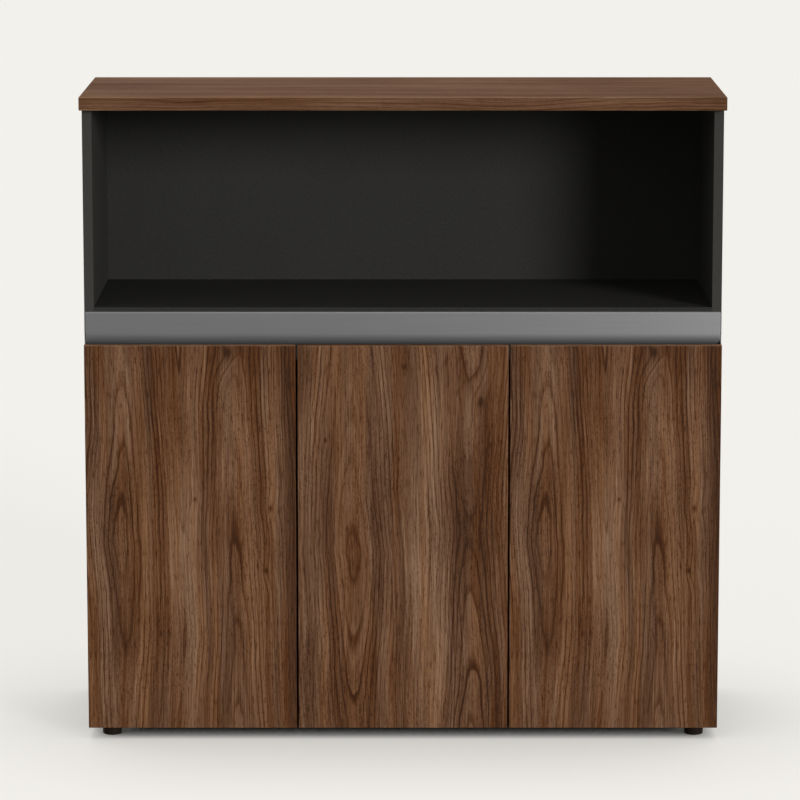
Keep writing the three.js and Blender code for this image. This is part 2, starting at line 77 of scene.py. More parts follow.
def make_camera():
    data = bpy.data.cameras.new("camera")
    data.sensor_width = CAMERA_SENSOR
    data.lens = CAMERA_LENS
    data.shift_x = CAMERA_SHIFT[0]
    data.shift_y = CAMERA_SHIFT[1]
    data.clip_end = CAMERA_REACH
    camera = bpy.data.objects.new("camera", data)
    scene.collection.objects.link(camera)
    camera.location = CAMERA_PLACE
    camera.rotation_euler = (math.radians(90 - CAMERA_TILT), 0, 0)
    scene.camera = camera


make_camera()


# Shader nodes
MIX_FACTOR = 0  # sockets of a Mix node that mixes colours
MIX_FIRST = 6
MIX_SECOND = 7
MIX_RESULT = 2
EDGE_SAMPLES = 6
FACING = (0.7, 0.95)  # share of the normal along an axis, from which and at which a face counts
# The painted highlight on upper edges runs between these shares of the normal that points up.
HIGHLIGHT_BEGINS = (0.05, 0.4)  # share of the normal that points up, on an edge's lower and upper side
HIGHLIGHT_ENDS = (0.9, 0.99)


def linear(red, green, blue):
    """An sRGB colour, 0 to 255, as linear values for a shader socket."""
    values = []
    for byte in (red, green, blue):
        share = byte / 255
        if share <= 0.04045:
            values.append(share / 12.92)
        else:
            values.append(((share + 0.055) / 1.055) ** 2.4)
    return (*values, 1.0)


class Field:
    """A value that varies over a surface, made from shader nodes with ordinary arithmetic."""

    def __init__(self, tree, socket):
        self.tree = tree
        self.socket = socket

    def math(self, operation, *others):
        node = self.tree.nodes.new("ShaderNodeMath")
        node.operation = operation
        for slot, item in zip(node.inputs, (self, *others)):
            feed(self.tree, item, slot)
        return Field(self.tree, node.outputs[0])

    def __add__(self, other):
        return self.math("ADD", other)

    def __sub__(self, other):
        return self.math("SUBTRACT", other)

    def __mul__(self, other):
        return self.math("MULTIPLY", other)

    def __truediv__(self, other):
        return self.math("DIVIDE", other)

    def root(self):
        return self.math("SQRT")

    def fraction(self):
        return self.math("FRACT")

    def magnitude(self):
        return self.math("ABSOLUTE")

    def at_least(self, other):
        return self.math("MAXIMUM", other)

    def at_most(self, other):
        return self.math("MINIMUM", other)

    def softest(self, other, width):
        return self.math("SMOOTH_MIN", other, width)

    def bell(self):
        """1 where this squared distance is 0, falling to 0 away from there."""
        return (self * -1.0).math("EXPONENT")

    def hill(self, width):
        """1 where this is 0, falling to 0 beyond this width either way."""
        scaled = self / width
        return (scaled * scaled).bell()

    def step(self, low, high, start=0.0, end=1.0):
        """The start value up to `low`, the end value from `high`, and a smooth change between."""
        node = self.tree.nodes.new("ShaderNodeMapRange")
        node.interpolation_type = "SMOOTHSTEP"
        self.tree.links.new(self.socket, node.inputs["Value"])
        limits = (("From Min", low), ("From Max", high), ("To Min", start), ("To Max", end))
        for name, value in limits:
            node.inputs[name].default_value = value
        return Field(self.tree, node.outputs["Result"])

    def choose(self, first, second):
        """The first field where this is 0, and the second field or number where it is 1."""
        return first + (first * -1.0 + second) * self

    def between(self, first, second):
        """The first colour where this is 0, and the second where it is 1."""
        node = self.tree.nodes.new("ShaderNodeMix")
        node.data_type = "RGBA"
        self.tree.links.new(self.socket, node.inputs[MIX_FACTOR])
        self.tree.links.new(first, node.inputs[MIX_FIRST])
        self.tree.links.new(second, node.inputs[MIX_SECOND])
        return node.outputs[MIX_RESULT]

    def ramp(self, stops):
        """A colour between stops of (position, colour)."""
        node = self.tree.nodes.new("ShaderNodeValToRGB")
        self.tree.links.new(self.socket, node.inputs["Fac"])
        elements = node.color_ramp.elements
        while len(elements) < len(stops):
            elements.new(0.5)
        for element, (position, colour) in zip(elements, stops):
            element.position = position
            element.color = colour
        return node.outputs["Color"]


def feed(tree, item, slot):
    """Links a field to a socket, or sets the socket to a number."""
    if isinstance(item, Field):
        tree.links.new(item.socket, slot)
    else:
        slot.default_value = item


def split(tree, vector):
    """The X, Y and Z fields of a vector socket."""
    node = tree.nodes.new("ShaderNodeSeparateXYZ")
    tree.links.new(vector, node.inputs[0])
    return [Field(tree, output) for output in node.outputs]


class Finish:
    """A material with a Principled shader, rounded edges and fields of its surface coordinates."""

    def __init__(self, name, edge, specular=0.5, metallic=0.0):
        self.material = bpy.data.materials.new(name)
        self.material.use_nodes = True
        self.tree = self.material.node_tree
        self.shader = self.tree.nodes["Principled BSDF"]
        self.shader.inputs["Specular IOR Level"].default_value = specular
        self.shader.inputs["Metallic"].default_value = metallic
        place = self.tree.nodes.new("ShaderNodeTexCoord")
        self.normal = place.outputs["Normal"]
        self.x, self.y, self.z = split(self.tree, place.outputs["Object"])
        rounding = self.tree.nodes.new("ShaderNodeBevel")
        rounding.samples = EDGE_SAMPLES
        rounding.inputs["Radius"].default_value = edge
        self.rounded = rounding.outputs[0]

    def faces(self, axis, sign=0):
        """1 where the surface faces along an axis (0 to 2 for X to Z), either way or only one way."""
        along = split(self.tree, self.normal)[axis]
        along = along * sign if sign else along.magnitude()
        return along.step(*FACING)

    def upper_edges(self):
        """1 along the rounded edges between tops and upright faces, where the wood gets a painted
        highlight.
        """
        up = split(self.tree, self.rounded)[2]
        return up.step(*HIGHLIGHT_BEGINS) * up.step(*HIGHLIGHT_ENDS, 1.0, 0.0)

    def noise(self, u, v, w=0.0, detail=2.0, roughness=0.5):
        """Smooth noise, about 0 to 1, over three coordinates that are already scaled."""
        join = self.tree.nodes.new("ShaderNodeCombineXYZ")
        for slot, item in zip(join.inputs, (u, v, w)):
            feed(self.tree, item, slot)
        node = self.tree.nodes.new("ShaderNodeTexNoise")
        node.inputs["Scale"].default_value = 1.0
        node.inputs["Detail"].default_value = detail
        node.inputs["Roughness"].default_value = roughness
        self.tree.links.new(join.outputs[0], node.inputs["Vector"])
        return Field(self.tree, node.outputs[0])

    def waves(self, x, y, z, detail):
        """Noise with this many waves per metre along each axis."""
        return self.noise(self.x * x, self.y * y, self.z * z, detail)

    def set(self, name, source):
        """Links a field or a colour to one of the shader's sockets."""
        self.tree.links.new(getattr(source, "socket", source), self.shader.inputs[name])

    def relief(self, height, depth):
        """Bumps of this depth, over the rounded edges."""
        bump = self.tree.nodes.new("ShaderNodeBump")
        bump.inputs["Strength"].default_value = 1.0
        bump.inputs["Distance"].default_value = depth
        self.tree.links.new(height.socket, bump.inputs["Height"])
        self.tree.links.new(self.rounded, bump.inputs["Normal"])
        self.tree.links.new(bump.outputs[0], self.shader.inputs["Normal"])


# Walnut
BROWN = (
    (0.0, linear(50, 28, 14)),
    (0.28, linear(76, 48, 28)),
    (0.52, linear(94, 66, 47)),
    (0.76, linear(115, 86, 65)),
    (1.0, linear(136, 107, 84)),
)
REDDISH = (
    (0.0, linear(53, 26, 8)),
    (0.28, linear(80, 46, 20)),
    (0.52, linear(99, 65, 40)),
    (0.76, linear(119, 84, 58)),
    (1.0, linear(139, 104, 76)),
)
SWAY = 0.045  # how far the grain wanders sideways, in long waves
RIPPLE = 0.006  # and in short ones
RAGGEDNESS = 0.007  # unevenness of the rings
BLUNTNESS = 0.03  # roundness of the arches' tips
MERGING = 0.02  # how softly one set of arches runs into another
KNOT_STRETCH = 1.5  # a knot's length with the grain, in its sizes
KNOT_FADING = 0.35  # how quickly the grain closes again round a knot
KNOT_PUSH = 0.5  # how far a knot pushes the grain, in its sizes
KNOT_CORE = 9.0  # how quickly the dark core fades
KNOT_DARKNESS = 0.5
RING_SPACING = 0.0068
RING_JITTER = 1.4  # unevenness of the spacing, in rings
RING_DARKEST = 0.1  # where in its width a ring is darkest
RING_FADED = 0.42  # and where its dark line has faded
RING_DARKNESS = 0.38
ARCH_WIDTH = 0.035  # the middle of the arches, where the rings are plainer to see
ARCH_PLAINNESS = 0.4
PALE_WIDTH = 0.012  # the paler wood in the very middle
PALENESS = 0.12
PATCHINESS = 0.7  # how unevenly the flecks are spread
# Painted highlight: how much lighter the wood is along its upper rounded edges.
EDGE_HIGHLIGHT = 0.35
WOOD_EDGE = 0.001  # radius of the edges
WOOD_ROUGHNESS = 0.42
FIBRE_ROUGHNESS = 0.16
PORE_ROUGHNESS = 0.12
PORE_DEPTH = 0.00012

# Layers that lighten and darken the wood: the course they follow, waves per metre over and with the
# grain, the step of the seed, the noise's detail and roughness, and the strength.
LAYERS = {
    "band": ("rings", 38.0, 0.9, 11, 1.0, 0.5, 0.75),
    "streak": ("rings", 190.0, 2.4, 13, 2.0, 0.5, 0.62),
    "line": ("fibres", 430.0, 3.0, 14, 2.0, 0.6, 0.7),
    "fibre": ("fibres", 760.0, 11.0, 15, 2.0, 0.6, 0.6),
    "cloud": ("board", 7.0, 4.0, 19, 2.0, 0.5, 0.55),
}


def arch_depth(bent, v, hearts):
    """How deep in the rings each point lies, counted from the middle of the nearest arches."""
    depth = None
    for heart_u, heart_v, start, below, above in hearts:
        side = bent - heart_u
        rise = v - heart_v
        distance = (side * side + BLUNTNESS * BLUNTNESS).root() + (start - BLUNTNESS)
        distance = distance + rise.at_least(0.0) * above + (rise * -1.0).at_least(0.0) * below
        depth = distance if depth is None else depth.softest(distance, MERGING)
    return depth


def walnut(
    name, across, along, hearts, knots, bands, seed,
    contrast=1.1, base=0.57, pores=0.24, redness=1.0, specular=0.08, dull=0.0, dull_ends=0.0,
):
    """Flat-sawn walnut. `across` and `along` take the finish and give metres over and with the grain.

    A heart (across, along, depth, below, above) is the middle of a set of arches, at this depth in the
    rings. Its two slopes say how the depth grows below and above it: both positive make lenses, both
    negative open up and down. A knot (across, along, size) pushes the grain aside round a dark core. A
    band (across, width, strength) is a lighter or darker strip of the board. `dull` makes the whole
    board rougher, and `dull_ends` its level faces.
    """
    finish = Finish(name, WOOD_EDGE, specular=specular)
    u = across(finish)
    v = along(finish)

    def noise(course, over, lengthwise, step, detail=2.0, roughness=0.5):
        """Noise with this many waves per metre over and with the grain."""
        return finish.noise(course * over, v * lengthwise, seed + step, detail, roughness)

    sway = noise(u, 3.0, 2.2, 0, detail=1.0) - 0.5
    ripple = noise(u, 14.0, 7.0, 3) - 0.5
    bent = u + sway * SWAY + ripple * RIPPLE
    depth = arch_depth(bent, v, hearts)
    cores = []
    for knot_u, knot_v, size in knots:
        du = (u - knot_u) / size
        dv = (v - knot_v) / (size * KNOT_STRETCH)
        square = du * du + dv * dv
        depth = depth + (square * KNOT_FADING).bell() * (size * KNOT_PUSH)
        cores.append((square * KNOT_CORE).bell())
    depth = depth + (noise(u, 30.0, 9.0, 5, detail=3.0) - 0.5) * RAGGEDNESS

    saw = (depth / RING_SPACING + noise(depth, 40.0, 0.4, 7) * RING_JITTER).fraction()
    ring = saw.step(0.0, RING_DARKEST) * saw.step(RING_DARKEST, RING_FADED, 1.0, 0.0)
    plainness = noise(depth, 48.0, 2.4, 9).step(0.36, 0.66) + depth.hill(ARCH_WIDTH) * ARCH_PLAINNESS
    pore = noise(bent, 560.0, 46.0, 17, detail=1.0).step(0.57, 0.69)
    patch = noise(u, 11.0, 6.0, 23, detail=1.0).step(0.36, 0.62)
    fleck = noise(bent, 600.0, 150.0, 25, detail=1.0).step(0.55, 0.7)
    fleck = fleck * (patch * PATCHINESS + (1 - PATCHINESS))

    courses = {"rings": depth, "fibres": bent, "board": u}
    layers = {}
    tone = None
    for layer, (course, over, lengthwise, step, detail, roughness, strength) in LAYERS.items():
        layers[layer] = noise(courses[course], over, lengthwise, step, detail, roughness)
        part = (layers[layer] - 0.5) * strength
        tone = part if tone is None else tone + part
    fibre = layers["fibre"]
    tone = tone - ring * plainness * RING_DARKNESS + depth.hill(PALE_WIDTH) * PALENESS
    tone = tone - (pore + fleck) * pores
    for core in cores:
        tone = tone - core * KNOT_DARKNESS
    for band_u, width, strength in bands:
        tone = tone + (bent - band_u).hill(width) * strength
    # The upper edges get a painted highlight, lighter as if caught by a light above.
    tone = tone * contrast + finish.upper_edges() * EDGE_HIGHLIGHT + base
    warmth = noise(bent, 44.0, 1.6, 21).step(0.34, 0.66) * redness
    finish.set("Base Color", warmth.between(tone.ramp(BROWN), tone.ramp(REDDISH)))
    roughness = fibre * FIBRE_ROUGHNESS + pore * PORE_ROUGHNESS + finish.faces(2) * dull_ends
    finish.set("Roughness", roughness + (WOOD_ROUGHNESS + dull))
    finish.relief(fibre * 0.5 - pore, PORE_DEPTH)
    return finish.material


OUTER_DOORS = {
    "hearts": ((0.281, -0.05, 0.0, 0.0, 0.038), (0.068, 0.36, 0.0, 0.045, 0.05)),
    "knots": (
        (0.268, 0.722, 0.018),
        (0.205, 0.442, 0.008),
        (0.347, 0.425, 0.013),
        (0.338, 0.305, 0.011),
    ),
    "bands": (
        (0.195, 0.03, 0.14),
        (0.138, 0.02, -0.13),
        (0.248, 0.011, -0.14),
        (0.385, 0.022, -0.2),
        (0.325, 0.02, -0.06),
    ),
    "seed": 4.2,
    "contrast": 1.16,
}
MIDDLE_DOOR = {
    "hearts": ((0.105, 0.34, 0.0, 0.065, 0.065), (0.325, 0.385, 0.026, -0.06, -0.06)),
    "knots": ((0.343, 0.627, 0.018), (0.20, 0.695, 0.010), (0.052, 0.555, 0.008)),
    "bands": (
        (0.25, 0.03, 0.12),
        (0.305, 0.012, -0.1),
        (0.36, 0.03, -0.13),
        (0.19, 0.02, -0.08),
    ),
    "seed": 27.6,
    "base": 0.6,
}
BANDING_STRIP = 0.19  # the part of the figure that the doors' top and bottom edges show
DULL_BANDING = 0.4
TOP_LEVEL = 1.2  # from which the top's figure is counted


def door_walnut(name, figure):
    """Upright grain, with the banding of the top and bottom edges running along them."""
    low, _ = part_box(name)

    def across(finish):
        through = finish.y - low.y
        return finish.faces(2).choose(finish.x - low.x + through, through + BANDING_STRIP)

    def along(finish):
        return finish.faces(2).choose(finish.z - low.z, finish.x - low.x)

    return walnut(name + "_walnut", across, along, dull_ends=DULL_BANDING, **figure)


def top_walnut():
    """Grain from side to side, with the banding of the two ends running along them."""

    def across(finish):
        return finish.faces(0).choose(finish.y, 0.0) + finish.z - TOP_LEVEL

    def along(finish):
        return finish.faces(0).choose(finish.x, finish.y)

    return walnut(
        "top_walnut",
        across,
        along,
        hearts=((0.5, 0.0, 0.0, 0.02, 0.02),),
        knots=(),
        bands=(),
        seed=51.3,
        contrast=0.75,
        base=0.55,
        pores=0.12,
        redness=0.4,
        specular=0.03,
        dull=0.25,
    )


# Other finishes: each mixes a tone, 0 to 1, from centred noise and colours it with a ramp
def charcoal_board(name, lighter_front):
    """Melamine-faced board with a fine pressed texture. One kind has its front-facing faces lighter.
    """
    finish = Finish(name, edge=0.0009, specular=0.03)
    grain = finish.waves(900.0, 900.0, 900.0, detail=2.0)
    speck = finish.waves(320.0, 320.0, 320.0, detail=1.0)
    cloud = finish.waves(3.0, 3.0, 3.0, detail=2.0)
    tone = (grain - 0.5) * 0.3 + (speck - 0.5) * 0.25 + (cloud - 0.5) * 0.14 + 0.3
    if lighter_front:
        tone = tone + finish.faces(1, -1) * 0.25
    finish.set("Base Color", tone.ramp(((0.0, linear(24, 24, 22)), (1.0, linear(76, 75, 72)))))
    finish.set("Roughness", speck * 0.16 + 0.56)
    finish.relief(grain + speck, depth=0.00008)
    return finish.material


def anodised():
    """Satin anodised aluminium, brushed along its length."""
    finish = Finish("anodised_aluminium", edge=0.0018, metallic=0.1)
    brush = finish.waves(6.0, 1500.0, 1500.0, detail=3.0)
    cloud = finish.waves(2.0, 9.0, 9.0, detail=1.0)
    tone = (brush - 0.5) * 0.7 + (cloud - 0.5) * 0.3 + 0.5
    finish.set("Base Color", tone.ramp(((0.0, linear(70, 70, 72)), (1.0, linear(96, 96, 98)))))
    finish.set("Roughness", brush * 0.12 + 0.52)
    finish.relief(brush, depth=0.00003)
    return finish.material


def nickel():
    """Nickel-plated steel of the hinges, screws, pins and inserts."""
    finish = Finish("nickel_steel", edge=0.0006, metallic=0.75)
    scratch = finish.waves(120.0, 1400.0, 500.0, detail=3.0)
    cloud = finish.waves(60.0, 60.0, 60.0, detail=1.0)
    tone = (scratch - 0.5) * 0.5 + (cloud - 0.5) * 0.5 + 0.5
    finish.set("Base Color", tone.ramp(((0.0, linear(150, 149, 146)), (1.0, linear(196, 194, 190)))))
    finish.set("Roughness", scratch * 0.18 + 0.3)
    finish.relief(scratch, depth=0.00002)
    return finish.material


def moulded(name, low, high, edge, specular=0.4):
    """Moulded plastic with a fine spark-eroded texture, between two sRGB colours."""
    finish = Finish(name, edge, specular=specular)
    grain = finish.waves(1100.0, 1100.0, 1100.0, detail=2.0)
    cloud = finish.waves(25.0, 25.0, 25.0, detail=1.0)
    tone = (grain - 0.5) * 0.8 + (cloud - 0.5) * 0.4 + 0.5
    finish.set("Base Color", tone.ramp(((0.0, linear(*low)), (1.0, linear(*high)))))
    finish.set("Roughness", grain * 0.2 + 0.42)
    finish.relief(grain, depth=0.00006)
    return finish.material


TOP_WALNUT = top_walnut()
CHARCOAL = charcoal_board("charcoal_board", lighter_front=False)
CHARCOAL_LIGHT_FRONT = charcoal_board("charcoal_board_light_front", lighter_front=True)
ALUMINIUM = anodised()
NICKEL = nickel()
# The feet's dark brown plastic is taken a little darker, as painted shade from the cabinet above them.
FOOT_PLASTIC = moulded("foot_plastic", (20, 14, 11), (38, 29, 24), edge=0.001, specular=0.05)
CAP_PLASTIC = moulded("cap_plastic", (74, 74, 75), (96, 96, 97), edge=0.0006)
COVER_PLASTIC = moulded("cover_plastic", (40, 40, 38), (58, 57, 55), edge=0.0004)
BUMPER_PLASTIC = moulded("bumper_plastic", (120, 120, 118), (146, 145, 142), edge=0.0008)

# The first entry whose text a node's name starts with gives the node its finish.
FINISHES = (
    ("top_panel", TOP_WALNUT),
    ("door_left", door_walnut("door_left", OUTER_DOORS)),
    ("door_middle", door_walnut("door_middle", MIDDLE_DOOR)),
    ("door_right", door_walnut("door_right", OUTER_DOORS)),
    ("finger_pull_rail", ALUMINIUM),
    ("rail_end_cap", CAP_PLASTIC),
    ("foot_insert", NICKEL),
    ("foot_", FOOT_PLASTIC),
    ("hinge_", NICKEL),
    ("shelf_pin", NICKEL),
    ("side_panel", CHARCOAL_LIGHT_FRONT),
    ("", CHARCOAL),
)
for name, node in nodes.items():
    material = next(finish for prefix, finish in FINISHES if name.startswith(prefix))
    node.data.materials.clear()
    node.data.materials.append(material)


# Small fittings
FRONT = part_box("door_left")[0].y
LEVELS = ("lower", "upper")
DOORS = (("left", 1), ("middle", -1), ("right", -1))  # and the way along X from hinges to free edge

SCREW_SIDES = 24
SCREW_PROFILE = (  # shares of the head's radius and height, from the rim inwards
    (1.0, 0.0),
    (1.0, 0.35),
    (0.94, 0.62),
    (0.80, 0.84),
    (0.60, 0.97),
    (0.44, 1.0),
    (0.24, 1.0),
)
CROSS_REACH = 0.5  # the cross recess, in shares of the head's radius
CROSS_HALF_WIDTH = 0.14
CROSS_FLOOR = 0.25  # and of its height
CROSS_TIP = 0.2

ARM_SCREW = (0.0042, 0.0018)  # radius and height of the heads
PLATE_SCREW = (0.0040, 0.0016)
LEAF_SCREW = (0.0040, 0.0011)
BACK_SCREW = (0.0036, 0.0017)
ARM_SCREW_PLACES = (0.038, 0.056)  # behind the doors' front
PLATE_SCREW_PLACE = 0.047
PLATE_SCREW_RISE = 0.0165  # above and below the hinge's middle
LEAF_SCREW_RISE = 0.0115
LEAF_SCREW_INSET = 0.011

BUMPER_PROFILE = (
    (0.0045, 0),
    (0.0045, 0.0006),
    (0.0042, 0.0014),
    (0.0033, 0.0021),
    (0.0018, 0.0025),
    (0, 0.0026),
)
BUMPER_SIDES = 24
BUMPER_INSET = 0.012  # from the free edge
BUMPER_FROM_BOTTOM = 0.009
BUMPER_FROM_TOP = 0.0245

BACK_SCREW_COUNT = 6  # in each row
BACK_SCREW_MARGIN = 0.06
BAY_FLOOR_SCREW_DROP = 0.001  # below the middle of the board
PARTITION_SCREW_HEIGHTS = (0.17, 0.33, 0.49, 0.65)

COVER_PROFILE = (
    (0.009, 0),
    (0.009, 0.0005),
    (0.0086, 0.0009),
    (0.0074, 0.0009),
    (0.0070, 0.0006),
    (0, 0.0006),
)
COVER_SIDES = 32
COVER_INSET = 0.034  # from the sides and the partition
COVER_PLACES = (-0.075, 0.11)  # along Y


def facing(point, direction):
    """Stands a fitting, made along +Z, on a point with its outer end in this direction."""
    turn = Vector(direction).to_track_quat("Z", "Y").to_matrix().to_4x4()
    return Matrix.Translation(point) @ turn


def add_point(mesh, place, radius, angle, height):
    spot = Vector((radius * math.cos(angle), radius * math.sin(angle), height))
    return mesh.verts.new(place @ spot)


def angles(sides):
    return [2 * math.pi * i / sides for i in range(sides)]


def skin(mesh, rings, tip, smooth):
    """Joins rings of points, closes the last one on the tip and caps the first."""
    for lower, upper in zip(rings, rings[1:]):
        for i in range(len(lower)):
            j = (i + 1) % len(lower)
            mesh.faces.new((lower[i], lower[j], upper[j], upper[i])).smooth = smooth
    last = rings[-1]
    for i in range(len(last)):
        mesh.faces.new((last[i], last[(i + 1) % len(last)], tip)).smooth = smooth
    mesh.faces.new(rings[0][::-1])


def turned(mesh, place, profile, sides):
    """Adds a turned form, from (radius, height) pairs that start at the rim and end on the axis."""
    rings = []
    for radius, height in profile[:-1]:
        rings.append([add_point(mesh, place, radius, angle, height) for angle in angles(sides)])
    tip_radius, tip_height = profile[-1]
    tip = add_point(mesh, place, tip_radius, 0, tip_height)
    skin(mesh, rings, tip, smooth=True)


def screw_head(mesh, place, radius, height):
    """Adds a domed head with a cross recess."""
    rings = []
    for share, rise in SCREW_PROFILE:
        ring = []
        for angle in angles(SCREW_SIDES):
            off_axis = abs((angle + math.pi / 4) % (math.pi / 2) - math.pi / 4)
            in_cross = share < CROSS_REACH and share * math.sin(off_axis) < CROSS_HALF_WIDTH
            level = CROSS_FLOOR if in_cross else rise
            ring.append(add_point(mesh, place, radius * share, angle, height * level))
        rings.append(ring)
    tip = add_point(mesh, place, 0, 0, height * CROSS_TIP)
    skin(mesh, rings, tip, smooth=False)


def fitting(name, body, material, slot, build, *details):
    """Makes a piece that rides on a body. `build` takes a mesh and the details, and adds its forms."""
    mesh = bmesh.new()
    build(mesh, *details)
    data = bpy.data.meshes.new(name)
    mesh.to_mesh(data)
    mesh.free()
    data.materials.append(material)
    piece = bpy.data.objects.new(name, data)
    scene.collection.objects.link(piece)
    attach(piece, body)


def free_side(node, into):
    """The X of a node's side away from the hinges."""
    low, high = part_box(node)
    return high.x if into > 0 else low.x


def mid_height(node):
    low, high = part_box(node)
    return (low.z + high.z) / 2


def hinge_screws(mesh, door, into):
    """Screws in the arms and plates of a door's hinges."""
    for level in LEVELS:
        arm = f"hinge_arm_{door}_{level}"
        plate = f"hinge_plate_{door}_{level}"
        z = mid_height(plate)
        for place in ARM_SCREW_PLACES:
            spot = Vector((free_side(arm, into), FRONT + place, z))
            screw_head(mesh, facing(spot, (into, 0, 0)), *ARM_SCREW)
        for rise in (-PLATE_SCREW_RISE, PLATE_SCREW_RISE):
            spot = Vector((free_side(plate, into), FRONT + PLATE_SCREW_PLACE, z + rise))
            screw_head(mesh, facing(spot, (into, 0, 0)), *PLATE_SCREW)


def leaf_screws(mesh, door, into):
    """Screws in the hinge leaves on a door's back."""
    for level in LEVELS:
        leaf = f"hinge_leaf_{door}_{level}"
        x = free_side(leaf, into) - into * LEAF_SCREW_INSET
        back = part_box(leaf)[1].y
        for rise in (-LEAF_SCREW_RISE, LEAF_SCREW_RISE):
            spot = Vector((x, back, mid_height(leaf) + rise))
            screw_head(mesh, facing(spot, (0, 1, 0)), *LEAF_SCREW)


def bumpers(mesh, door, into):
    """Soft bumpers at the free corners of a door's back."""
    node = f"door_{door}"
    low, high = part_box(node)
    x = free_side(node, into) - into * BUMPER_INSET
    for z in (low.z + BUMPER_FROM_BOTTOM, high.z - BUMPER_FROM_TOP):
        turned(mesh, facing(Vector((x, high.y, z)), (0, 1, 0)), BUMPER_PROFILE, BUMPER_SIDES)


def back_screws(mesh):
    """Screws through the back into the bay's floor, the bottom and the partition."""
    low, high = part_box("back_panel")
    partition_low, partition_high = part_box("partition")
    run = high.x - low.x - 2 * BACK_SCREW_MARGIN
    spots = []
    for i in range(BACK_SCREW_COUNT):
        x = low.x + BACK_SCREW_MARGIN + run * i / (BACK_SCREW_COUNT - 1)
        spots.append((x, mid_height("bay_floor") - BAY_FLOOR_SCREW_DROP))
        spots.append((x, mid_height("bottom_panel")))
    for z in PARTITION_SCREW_HEIGHTS:
        spots.append(((partition_low.x + partition_high.x) / 2, z))
    for x, z in spots:
        screw_head(mesh, facing(Vector((x, high.y, z)), (0, 1, 0)), *BACK_SCREW)


def fitting_covers(mesh):
    """Round covers over the fittings in the bottom, beside the sides and the partition."""
    low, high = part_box("bottom_panel")
    partition_low, partition_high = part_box("partition")
    places = (
        low.x + COVER_INSET,
        partition_low.x - COVER_INSET,
        partition_high.x + COVER_INSET,
        high.x - COVER_INSET,
    )
    for x in places:
        for y in COVER_PLACES:
            turned(mesh, facing(Vector((x, y, high.z)), (0, 0, 1)), COVER_PROFILE, COVER_SIDES)


for door, into in DOORS:
    body = door + "_door"
    fitting(f"hinge_screws_{door}", "carcass", NICKEL, "steel", hinge_screws, door, into)
    fitting(f"leaf_screws_{door}", body, NICKEL, "steel", leaf_screws, door, into)
    fitting(f"door_bumpers_{door}", body, BUMPER_PLASTIC, "dark_plastic", bumpers, door, into)
fitting("back_screws", "carcass", NICKEL, "steel", back_screws)
fitting("fitting_covers", "carcass", COVER_PLASTIC, "dark_plastic", fitting_covers)


# Floor, light and background
BACKGROUND = linear(241.5, 239.2, 234.5)
BLACK = (0, 0, 0, 1)
WHITE = (1, 1, 1, 1)
AMBIENT = 0.25  # the world's light on the object
FLOOR_SIZE = 60  # from its middle to its sides
FLOOR_SEGMENTS = 8
FLOOR_BOUNCE = (0.22, 0.22, 0.215, 1)  # its colour as the object is lit by it
FLOOR_GLOW = 0.80  # share of the floor's own brightness that doesn't depend on the lights
FLOOR_PAINT = 0.338  # and its colour under the lights, against the background's
# Painted shadow: the floor's glow fades with ambient occlusion round the cabinet, and glow and paint
# both darken over the cabinet's footprint.
SHADE_SAMPLES = 8
SHADE_DISTANCE = 0.45
SHADE_POWER = 0.4  # below 1 makes the shade paler
SHADE_CORE = 0.04  # the share of open sky at which the floor is half dark
SHELTER = (0.03, 0.11)  # how far in under the cabinet the floor starts to darken, and is dark
SHELTERED = 0.05


def seen_rays(tree):
    """1 for rays that show the background itself, or its reflection."""
    path = tree.nodes.new("ShaderNodeLightPath")
    camera = Field(tree, path.outputs["Is Camera Ray"])
    glossy = Field(tree, path.outputs["Is Glossy Ray"])
    passing = Field(tree, path.outputs["Is Transmission Ray"])
    return camera.at_least(glossy).at_least(passing)


def mix_shaders(tree, share, first, second):
    """The first shader where the share is 0, and the second where it is 1."""
    node = tree.nodes.new("ShaderNodeMixShader")
    tree.links.new(share.socket, node.inputs[0])
    tree.links.new(first.outputs[0], node.inputs[1])
    tree.links.new(second.outputs[0], node.inputs[2])
    return node


def under_cabinet_shadow(tree):
    """1 on the open floor, falling to nearly 0 well under the cabinet: a painted shadow over its
    footprint.
    """
    place = tree.nodes.new("ShaderNodeTexCoord")
    x, y, _ = split(tree, place.outputs["Object"])
    low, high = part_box("bottom_panel")
    depths = []
    for along, first, last in ((x, low.x, high.x), (y, FRONT, high.y)):
        off_middle = (along - (first + last) / 2).magnitude()
        depths.append(off_middle * -1.0 + (last - first) / 2)
    return depths[0].at_most(depths[1]).step(*SHELTER, 1.0, SHELTERED)


